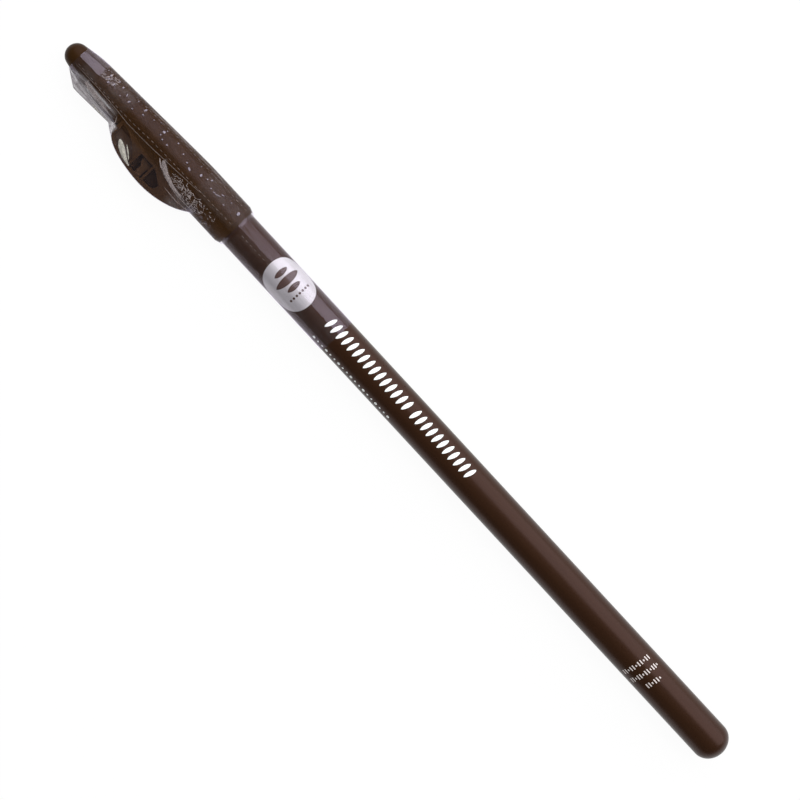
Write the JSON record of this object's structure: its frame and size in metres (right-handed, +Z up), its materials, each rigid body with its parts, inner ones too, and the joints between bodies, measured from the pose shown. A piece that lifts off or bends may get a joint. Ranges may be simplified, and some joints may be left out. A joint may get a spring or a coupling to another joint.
{
  "type": "eyeliner pencil",
  "caption": "Slim round wooden eyeliner pencil with a tapered cap that holds a blade sharpener in a side housing, sealed in clear shrink film.",
  "frame": {"origin": "centre of the bounding box's base, on the surface that the pencil lies on", "axes": "+X along the pencil from the cap's closed tip to the rounded far end, +Z up, sharpener housing towards -Y"},
  "size_m": [0.1924, 0.0134, 0.0099],
  "materials": {
    "lacquered_wood": "satin chocolate brown lacquer over wood",
    "pigment": "soft waxy brown pigment, matt",
    "cap_plastic": "glossy dark brown moulding",
    "blade_steel": "ground steel",
    "screw_steel": "plated steel",
    "clear_film": "clear glossy shrink film with creases"
  },
  "bodies": {
    "pencil": {"casing_half_upper": "lacquered_wood", "casing_half_lower": "lacquered_wood", "pigment_core": "pigment"},
    "cap": {"cap_shell": "cap_plastic", "sharpener_blade": "blade_steel", "blade_screw": "screw_steel", "shrink_film": "clear_film"}
  },
  "joints": [
    {"name": "cap_pull_off", "type": "slide", "parent": "pencil", "child": "cap", "axis": [-1, 0, 0], "range_m": [0, 0.062]}
  ]
}
